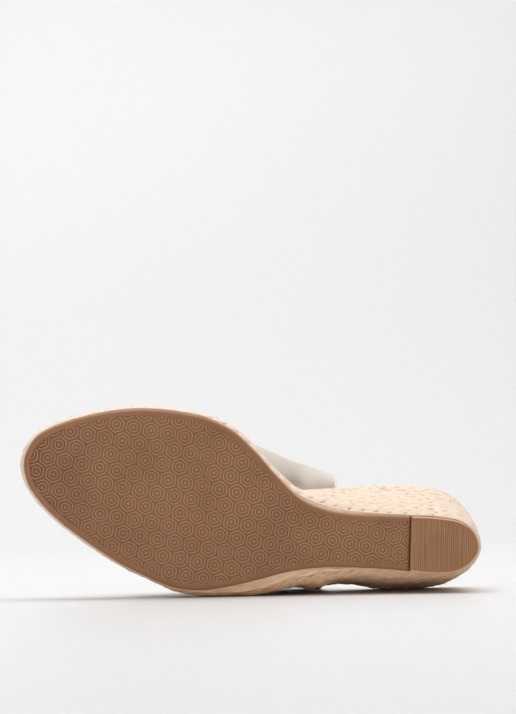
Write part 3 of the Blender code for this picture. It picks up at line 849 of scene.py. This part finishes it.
def lift_ribs():
    """The ribbed face of the lift, as a sheet that ends inside the border."""
    outline = edge_ring(0.0, outset=-(LIFT_BORDER - 0.02 * MM)) - BREAST
    depth, width = outline @ BACKWARD, outline @ SIDEWAYS
    next_depth, next_width = np.roll(depth, -1), np.roll(width, -1)
    rng = np.random.default_rng(7)
    wobble = np.cumsum(rng.normal(0, 0.012, 600)) * MM
    strength = smooth_curve(np.arange(60) * 0.7 * MM, rng.uniform(0.35, 1.0, 60))
    shares = np.linspace(0, 1, 27)
    points, grooves = [], []
    for p in np.arange(RIB_START, depth.max() - 0.05 * MM, RIB_ROW):
        cut = (depth - p) * (next_depth - p) < 0
        t = (p - depth[cut]) / (next_depth[cut] - depth[cut])
        ends = width[cut] + (next_width[cut] - width[cut]) * t
        across = ends.max() - ends.min()
        q = ends.min() + across * shares
        shift = 0.18 * MM * np.sin(q / (9 * MM) + p / (7 * MM)) + 0.07 * MM * np.sin(q / (3.1 * MM) + 2.0)
        place = p + shift + wobble[int(p / MM * 10) % 600]
        wave = 0.5 + 0.5 * np.cos(2 * math.pi * place / RIB_PITCH)
        fade = smoothstep(np.minimum(shares, 1 - shares) * across / (0.5 * MM))
        fade = fade * smoothstep((depth.max() - p) / (0.8 * MM)) * rising(p, 0.8 * MM, 0.5 * MM)
        groove = strength(p) * (1 - wave) ** 1.8
        row = BREAST + BACKWARD * p + SIDEWAYS * q[:, None]
        row[:, 2] = 0.36 * MM - (0.32 * MM - RIB_DEPTH * groove) * fade
        points.append(row)
        # the groove attribute carries painted shade into the rib grooves
        grooves.append(groove * fade)
    faces = ring_faces(len(points), len(shares), closed=False)
    made = piece("heel_lift_ribs", points, faces, [RIBBED_RUBBER], groove=grooves)
    declared(made, "rubber")


def wedge_row_height(row, share):
    """Height of the wedge's rows. The lowest row's foot follows the outsole."""

    def height(x):
        low = outsole_top(x) + GAP if row == 0 else WEDGE_BOTTOM + WEDGE_ROW * row
        high = np.clip(platform_bottom(x), low + 2.0 * MM, WEDGE_BOTTOM + WEDGE_ROW * (row + 1))
        return low + (high - low) * share

    return height


def platform_row_height(row, share):
    """Height of the platform's rows, which follow the footbed."""

    def height(x):
        low = platform_bottom(x)
        return low + (footbed_height(x) - low) * (row + share) / PLATFORM_ROWS

    return height


def wedge_bulge(x):
    faded = smoothstep((WEDGE_TIP - x / SOLE_LENGTH) / WEDGE_FADE)
    return PLATFORM_BULGE / 2 + (WEDGE_BULGE - PLATFORM_BULGE / 2) * faded


def strand(start, end, phase, pitch, row, height_of, bulge, number, tuck):
    """One strand of a plait along a row, from one length of the sole's edge to another. A
    tucked one goes in under the platform and at its ends."""
    count = int(round((end - start) / STRAND_STEP))
    s = np.linspace(start, end, count + 1)[:, None]
    waves = max(round((end - start) / PLAIT_WAVE), 1)
    angle = 2 * math.pi * waves * (s - start) / (end - start) + phase
    half_width = STRAND_HALF_WIDE * pitch
    swing = pitch / 2 - 0.93 * half_width
    drift = 0.14 * MM * np.sin(s / (17 * MM) + number * 2.1)
    v = pitch / 2 + swing * np.sin(angle) + drift
    slope = swing * np.cos(angle) * 2 * math.pi * waves / (end - start)
    length = np.sqrt(1 + slope**2)
    around_angle = np.arange(STRAND_SIDES)[None, :] * 2 * math.pi / STRAND_SIDES
    fat = 1 + 0.07 * np.sin(s / (5.3 * MM) + number * 1.7)
    across = half_width * fat * np.cos(around_angle)
    depth = STRAND_HALF_THICK * (np.sin(around_angle) - 1) + PLAIT_WEAVE * (np.sin(2 * angle) - 1)
    at_s = s - slope / length * across
    at_v = (v + across / length) / pitch
    x0 = around(PLAN_POINTS[:, 0], at_s)
    z = height_of(row, at_v)(x0)
    outset = row_outset(bulge(x0), at_v) + depth
    if tuck:
        over = smoothstep((z - platform_bottom(x0) + 0.2 * MM) / (1.8 * MM))
        outset = outset - 3.0 * MM * over
        ends = smoothstep(np.minimum(s - start, end - s) / (5 * MM))
        outset = outset - 2.0 * MM * (1 - ends)
    lumps = np.sin(s / (4.1 * MM) + number * 2.3) + np.sin(s / (7.7 * MM) + number * 4.1 + row)
    outset = outset - 0.06 * MM * (lumps + 2) - forefoot_trim(x0)
    z = np.maximum(z, outsole_top(x0) + 0.1 * MM)
    outset = outset + slack(at_s, x0, z) - drawn_in(x0, z) * falling(x0 / SOLE_LENGTH, 0.5, 0.1)
    points = edge_points(at_s, z, flare_share(x0, z), outset)
    fibre = np.stack(np.broadcast_arrays(s * 100, across * 100, float(number)), axis=-1)
    return points, fibre


def plaits(name, rows, pitch, height_of, bulge, tuck):
    """Plaits of three strands. rows holds each plait's row, start and end. The attribute run
    is the way that a strand runs."""
    points, faces, fibres, runs = [], [], [], []
    count = 0
    number = 0
    for row, start, end in rows:
        for k in range(STRANDS):
            number += 1
            phase = 2 * math.pi * k / STRANDS
            ring, fibre = strand(start, end, phase, pitch, row, height_of, bulge, number, tuck)
            faces.append(ring_faces(ring.shape[0], STRAND_SIDES, start=count)[:, ::-1])
            points.append(ring)
            fibres.append(fibre)
            count += ring.shape[0] * STRAND_SIDES
            run = np.gradient(ring, axis=0) @ TURN.T
            runs.append(run / np.linalg.norm(run, axis=-1)[..., None])
    looks = {"fibre": np.vstack(fibres), "run": np.vstack(runs)}
    return piece(name, np.vstack(points), np.vstack(faces), [JUTE], **looks)


def crossing(height, inner):
    """Length along the sole's edge where the platform's underside comes down to a height."""
    ks = np.arange(0, HALF + 1) if inner else np.arange(COLUMNS, HALF - 1, -1)
    for k in ks:
        if platform_bottom(PLAN_POINTS[k % COLUMNS][0]) < height:
            return PLAN_RUN[k]
    return PLAN_RUN[HALF]


def wedge_plaits():
    rows = []
    for row in range(WEDGE_ROWS):
        low = WEDGE_BOTTOM + WEDGE_ROW * row if row else OUTSOLE_THICKNESS + 0.6 * MM
        end = crossing(low, True) + 3 * MM
        start = crossing(low, False) - PLAN_AROUND - 3 * MM
        rows.append((row, start, end))
    made = plaits("wedge_plaits", rows, WEDGE_ROW, wedge_row_height, wedge_bulge, True)
    return declared(made, "jute")


def platform_plaits():
    pitch = PLATFORM_THICKNESS / PLATFORM_ROWS
    rows = [(row, 0.0, PLAN_AROUND) for row in range(PLATFORM_ROWS)]
    made = plaits("platform_plaits", rows, pitch, platform_row_height, lambda x: PLATFORM_BULGE, False)
    return declared(made, "jute")


def stray_fibres(name, plait, finish, density, seed):
    """Short bent fibres, scattered over a plait and laid along its strands."""

    def scattered(strands, per_area, length, radius, lift, seed):
        node = strands.node
        inputs = {"Mesh": strands, "Density": per_area, "Seed": seed}
        spots = node("GeometryNodeDistributePointsOnFaces", inputs)
        normal = Wire(strands.tree, spots.socket.node.outputs["Normal"])
        run = node("GeometryNodeInputNamedAttribute", {"Name": "run"}, data_type="FLOAT_VECTOR")
        inputs = {0: (-FIBRE_STRAY,) * 3, 1: (FIBRE_STRAY,) * 3, "Seed": seed}
        stray = node("FunctionNodeRandomValue", inputs, data_type="FLOAT_VECTOR")
        way = node("ShaderNodeVectorMath", {0: run, 1: stray}, operation="ADD")
        along = node("FunctionNodeAlignEulerToVector", {"Vector": way}, axis="X")
        inputs = {"Rotation": along, "Vector": normal}
        upright = node("FunctionNodeAlignEulerToVector", inputs, axis="Z", pivot_axis="X")
        first = node("ShaderNodeCombineXYZ", {0: length * -0.5, 2: lift * -0.3})
        top = node("ShaderNodeCombineXYZ", {2: lift})
        last = node("ShaderNodeCombineXYZ", {0: length * 0.5, 2: lift * -0.3})
        inputs = {"Resolution": 4, "Start": first, "Middle": top, "End": last}
        bend = node("GeometryNodeCurveQuadraticBezier", inputs)
        ring = node("GeometryNodeCurvePrimitiveCircle", {"Resolution": 3, "Radius": radius})
        fibre = node("GeometryNodeCurveToMesh", {"Curve": bend, "Profile Curve": ring})
        inputs = {2: 0.5, 3: 1.4, "Seed": seed}
        size = node("FunctionNodeRandomValue", inputs, output=1, data_type="FLOAT")
        inputs = {"Points": spots, "Instance": fibre, "Rotation": upright, "Scale": size}
        return node("GeometryNodeInstanceOnPoints", inputs)

    inputs = {
        "Fibres per square metre": density,
        "Fibre length": FIBRE_LENGTH,
        "Fibre radius": FIBRE_RADIUS,
        "Lift": FIBRE_LIFT,
        "Seed": seed,
    }
    made = run_nodes(in_scene(name, plait.data.copy()), name, finish, inputs, scattered)
    declared(made, "jute")


def foot_cords():
    """Straight bundles of fibres, side by side, that close the plaits along the rubber."""
    sides = 8
    rows = int(PLAN_AROUND / FOOT_CORD_STEP)
    s = np.linspace(0, PLAN_AROUND, rows, endpoint=False)[:, None].repeat(sides, axis=1)
    turn = np.arange(sides)[None, :] * 2 * math.pi / sides
    x0 = around(PLAN_POINTS[:, 0], s)
    flare = around(PLAN_FLARE, s) * flare_share(x0, outsole_top(x0) + FOOT_CORD_HALF_HIGH)
    reach = 0.25 * MM + 0.35 * (JUTE_LEDGE - forefoot_trim(x0)) + 0.9 * flare + FOOT_CORD_LAP
    k = np.arange(sides)
    last = (rows - 1) * sides
    closing = np.stack([last + k, last + (k + 1) % sides, (k + 1) % sides, k], axis=-1)
    points, faces, fibres = [], [], []
    for cord in range(FOOT_CORDS):
        sway = 0.10 * np.sin(s / (6.1 * MM) + 2.1 * cord) + 0.08 * np.sin(s / (2.7 * MM) + 1.3 * cord)
        middle = (cord + 0.5 + sway) / FOOT_CORDS * reach - FOOT_CORD_LAP
        half = reach / FOOT_CORDS * (0.66 + 0.5 * sway)
        z = outsole_top(x0) + FOOT_CORD_HALF_HIGH * (1.5 * sway - 0.2 + np.cos(turn) * (1.2 + 2 * sway))
        points.append(edge_points(s, z, 0.0, middle + half * np.sin(turn)))
        faces.append(np.vstack([ring_faces(rows, sides)[:, ::-1], closing]) + cord * rows * sides)
        across = np.sin(turn) * (half + 0.5 * MM) * 100
        fibres.append(np.stack([s * 100, across, np.full(s.shape, 77.0 + 3 * cord)], axis=-1))
    # the cords take the paler jute, painted light
    made = piece("foot_cords", points, np.vstack(faces), [JUTE_EDGE_PAINTED_LIGHT], fibre=fibres)
    declared(made, "jute")


def core_ring(height):
    """A ring of a core, under the strands."""
    x = PLAN_POINTS[:, 0]
    z = height(x)
    outset = JUTE_LEDGE - CORE_INSET - forefoot_trim(x) + slack(PLAN_RUN[:-1], x, z)
    return edge_ring(height, flare_share(x, z), outset - drawn_in(x, z))


def jute_core(name, rings):
    """A closed core, with fibres that run along the edge."""
    points, faces = capped_loft(rings)
    fibre = np.zeros((len(points), 3))
    on_rings = slice(0, len(rings) * COLUMNS)
    fibre[on_rings, 0] = np.tile(PLAN_RUN[:-1] * 100, len(rings))
    fibre[on_rings, 1] = points[on_rings, 2] * 100
    return piece(name, points, faces, [JUTE_CORE], fibre=fibre)


def jute_cores():
    """The wrapped cores that show between the strands of the wedge and the platform."""

    def wedge_height(share):
        def height(x):
            low = outsole_top(x) + GAP
            high = np.maximum(platform_bottom(x) + 1.0 * MM, low + 0.2 * MM)
            return low + (high - low) * share

        return height

    wedge = jute_core("wedge_core", [core_ring(wedge_height(k)) for k in (0.0, 0.2, 0.4, 0.6, 0.8, 1.0)])
    keep_side(wedge, (WEDGE_TIP * SOLE_LENGTH, 0, 0), (-1, 0, 0))
    declared(wedge, "jute", "wedge")
    shares = (0.0, 0.1, 0.3, 0.5, 0.7, 0.88)
    rings = [core_ring(platform_row_height(0, share * PLATFORM_ROWS)) for share in shares]
    for drop, inset in ((0.8 * MM, 0.0), (0.1 * MM, 0.5 * MM), (0.0, 1.2 * MM)):
        rings.append(rim_ring(lambda x, drop=drop: footbed_height(x) - drop, CORE_INSET + inset))
    declared(jute_core("platform_core", rings), "jute", "platform")


def insole():
    """The padded sock, with soft crowned edges and a groove near its edge."""
    top = GAP + INSOLE_THICKNESS
    profile = [
        # inset from the insole's edge, height over the footbed
        (0.35 * MM, 0.0),
        (0.0, 0.5 * MM),
        (-0.15 * MM, 1.3 * MM),
        (0.0, 2.1 * MM),
        (0.35 * MM, 2.7 * MM),
        (0.9 * MM, top - 0.22 * MM),
        (1.7 * MM, top - 0.06 * MM),
        (2.3 * MM, top - 0.08 * MM),
        (2.6 * MM, top - 0.34 * MM),
        (2.9 * MM, top - 0.08 * MM),
        (3.6 * MM, top),
        (6.0 * MM, top + 0.04 * MM),
    ]
    rings = [rim_ring(lambda x, h=h: footbed_height(x) + h, INSOLE_INSET + inset) for inset, h in profile]
    points, faces = capped_loft(rings, dish=(0.0, INSOLE_DISH))
    made = piece("padded_insole", points, faces, [INSOLE_LEATHER])
    declared(made, "insole_leather", "insole")


def band_surface(step, along_share):
    """Points of the band's outside. step runs from -1 at the inner base over 0 at the widest
    point to 1 at the ridge, and on down the outer side to 3 at its base."""
    outer = step > 1
    step = np.where(outer, 2 - step, step)
    eased = smoothstep(np.maximum(step, 0.0))

    def edge(ends):
        base = np.where(outer, ends[2], ends[0])
        return (base + (ends[1] - base) * eased) * SOLE_LENGTH

    back, front = edge(UPPER_BACK), edge(UPPER_FRONT)
    x = back + (front - back) * along_share
    along = x / SOLE_LENGTH
    rim = rim_ring(0.0, UPPER_INSET)
    rims = rim[: HALF + 1], np.vstack([rim[HALF:], rim[:1]])[::-1]
    inner_y, outer_y = (np.interp(x, side[:, 0], side[:, 1]) for side in rims)
    tall, ridge_y, inner_wide, outer_wide = (column(UPPER_SECTIONS, k)(along) for k in (1, 2, 3, 4))
    tall = tall * INSTEP_HEIGHT
    ridge_y = ridge_y * BALL_WIDTH
    base_y = np.where(outer, outer_y, inner_y)
    wide_y = np.where(outer, outer_wide, inner_wide) * BALL_WIDTH
    wide_z = SIDE_HEIGHT * tall
    low_z = wide_z + np.minimum(step, 0.0) * (wide_z + 1.2 * MM)
    low_y = base_y + (wide_y - base_y) * smoothstep(low_z / wide_z)
    angle = np.clip(step, 0.0, 1.0) * math.pi / 2
    high_y = ridge_y + (wide_y - ridge_y) * np.cos(angle) ** (2 / SHOULDER)
    high_z = wide_z + (tall - wide_z) * np.sin(angle) ** (2 / SHOULDER)
    y = np.where(step < 0, low_y, high_y)
    z = np.where(step < 0, low_z, high_z)
    return np.stack([x, y, footbed_height(x) + z], axis=-1)


def trough(step, share, at_step, at_share, length, width, turn, depth):
    """A soft crease: how far it sinks the leather at each point."""
    du, dv = share - at_share, step - at_step
    along = du * math.cos(turn) + dv * math.sin(turn)
    off = -du * math.sin(turn) + dv * math.cos(turn)
    return depth * np.exp(-((off / width) ** 2)) * np.exp(-((along / length) ** 2))


def leather_band():
    """The band over the foot: bone leather with rounded edges, and a lining inside it."""
    low = np.linspace(-1, 0, 25)[:-1]
    high = np.linspace(0, 1, 31)
    steps = np.concatenate([low, (1 - np.cos(high * math.pi)) / 2 * 0.35 + high * 0.65])
    steps = np.concatenate([steps, 2 - steps[::-1][1:]])
    edge = np.array([0, 0.004, 0.009, 0.016, 0.026])
    shares = np.concatenate([edge, np.linspace(0.045, 0.955, 56), 1 - edge[::-1]])
    step, share = np.meshgrid(steps, shares, indexing="ij")
    surface = band_surface(step, share)
    along = np.gradient(surface, axis=1)
    normal = np.cross(np.gradient(surface, axis=0), along)
    normal /= np.linalg.norm(normal, axis=2)[..., None]
    run = np.cumsum(np.linalg.norm(along, axis=2), axis=1)
    from_edge = np.minimum(run - run[:, :1], run[:, -1:] - run)
    fold = BAND_ROOM * falling(from_edge, 2.2 * MM, 0.8 * MM)
    sink = sum(trough(step, share, *crease) for crease in CREASES) * smoothstep(from_edge / (6 * MM))
    outside = surface - normal * (sink + BAND_ROOM - fold)[..., None]
    inside = outside - normal * BAND_WALL
    turns = np.linspace(0, math.pi, 7)[1:-1]
    radius = BAND_WALL / 2

    def rounded_rim(k, sign):
        """Rows of points from the outside to the inside, round the edge at a column."""
        tangent = along[:, k] / np.linalg.norm(along[:, k], axis=1)[:, None] * sign
        middle = outside[:, k] - normal[:, k] * radius
        rim = [middle + radius * (math.cos(a) * normal[:, k] + math.sin(a) * tangent) for a in turns]
        return np.stack(rim, axis=1)

    front, back = rounded_rim(-1, 1), rounded_rim(0, -1)
    grid = np.concatenate([outside, front, inside[:, ::-1], back[:, ::-1]], axis=1)
    height = grid[..., 2] - footbed_height(grid[..., 0])
    at = grid[..., 0] / SOLE_LENGTH
    # Painted shade: tuck darkens the band low down, more towards the back, all along the outer side that
    # lies on the floor, and in a soft fold.
    outer_side = (steps > 1)[:, None]
    low = np.maximum(0.20 + 0.80 * smoothstep((0.45 - at) / 0.07), outer_side)
    low = low * falling(height, 4 * MM, 15 * MM)
    shaded = 0.6 * np.exp(-(((at - 0.385) / 0.024) ** 2)) * falling(height, 4 * MM, 24 * MM)
    tuck = np.clip(low + shaded, 0, 1)
    on_rim = np.zeros((len(steps), len(turns)))
    # Painted highlight along the band's folded edges, outside and inside.
    from_fold = np.concatenate([from_edge, on_rim, from_edge[:, ::-1] + 1 * MM, on_rim], axis=1)
    fold_highlight = falling(from_fold, 0.7 * MM, 0.7 * MM)
    faces = ring_faces(len(steps), grid.shape[1])
    made = piece("leather_band", grid, faces, [BAND_LEATHER], tuck=tuck, fold=fold_highlight)
    declared(made, "upper_leather", "upper")
    near = inside[:, 2:-2] + normal[:, 2:-2] * 0.05 * MM
    deep = inside[:, 2:-2] - normal[:, 2:-2] * LINING_WALL
    grid = np.concatenate([near, deep[:, ::-1]], axis=1)
    faces = ring_faces(len(steps), grid.shape[1])
    declared(piece("band_lining", grid, faces, [BAND_LINING]), "upper_leather")


def sweep_backdrop():
    """Pale paper: a floor that curves up into a wall far behind the shoe."""
    paper = finish_named("pale_paper", (0.735, 0.735, 0.74), 0.45)
    start, bend = 1.0, 0.9
    turns = np.linspace(0, math.pi / 2, 33)[1:]
    profile = [(-3.0, 0.0), (start, 0.0)]
    profile += [(start + bend * math.sin(a), bend * (1 - math.cos(a))) for a in turns]
    profile += [(start + bend, 4.0)]
    points, faces = [], []
    for y, z in profile:
        points += [(-4.0, y, z), (4.0, y, z)]
    for k in range(len(profile) - 1):
        faces.append((2 * k, 2 * k + 1, 2 * k + 3, 2 * k + 2))
    mesh = bpy.data.meshes.new("backdrop")
    mesh.from_pydata(points, [], faces)
    mesh.materials.append(paper)
    mesh.shade_smooth()
    in_scene("backdrop", mesh)


def studio():
    scene = bpy.context.scene
    scene.view_settings.view_transform = "Standard"
    world = bpy.data.worlds.new("studio_air")
    world.use_nodes = True
    scene.world = world
    air = world.node_tree.nodes["Background"]
    air.inputs[0].default_value = (1.0, 1.0, 1.0, 1.0)
    air.inputs[1].default_value = 0.37
    for name, place, aim, width, depth, power, colour in (
        ("backdrop_light", (0, 0.5, 2.6), (0, 1.9, 0.5), 4, 0.5, 3, (1, 1, 1)),
        ("overhead", (0.1, 0.25, 2.3), (0, 0.1, 0), 2.6, 1.7, 57, (1, 0.99, 0.98)),
        ("front_fill", (-0.4, -2.6, 1.3), (0, 0, 0.05), 1.6, 1.2, 7, (1, 0.99, 0.98)),
        ("low_fill", (-1.7, -2.8, 0.16), (0, 0, 0.03), 2, 0.28, 14, (1, 0.94, 0.88)),
    ):
        light = bpy.data.lights.new(name, "AREA")
        light.shape = "RECTANGLE"
        light.size = width
        light.size_y = depth
        light.energy = power
        light.color = colour
        made = in_scene(name, light)
        made.location = place
        made.rotation_euler = (Vector(aim) - Vector(place)).to_track_quat("-Z", "Y").to_euler()


def photo_camera():
    """The photograph's view: a long lens low over the floor, turned a little to the heel."""
    data = bpy.data.cameras.new("photo_camera")
    data.sensor_width = 36.0
    data.lens = 149.3
    data.clip_start = 0.05
    data.clip_end = 20.0
    turn = Matrix.Rotation(math.radians(-6.0), 4, "Z")
    pitch = Matrix.Rotation(math.radians(90.0 + 2.39), 4, "X")
    roll = Matrix.Rotation(math.radians(-0.8), 4, "Z")
    made = in_scene("photo_camera", data)
    made.matrix_world = Matrix.Translation((-0.1573, -1.5462, 0.0586)) @ turn @ pitch @ roll
    bpy.context.scene.camera = made


photo_camera()
sweep_backdrop()
studio()
rubber_outsole()
raised_tread()
heel_lift()
lift_ribs()
jute_cores()
for plait_name, plait in (("wedge", wedge_plaits()), ("platform", platform_plaits())):
    stray_fibres(plait_name + "_loose_fibres", plait, LOOSE_FIBRE, LOOSE_DENSITY, 3)
    stray_fibres(plait_name + "_dark_fibres", plait, DARK_FIBRE, DARK_DENSITY, 11)
foot_cords()
insole()
leather_band()
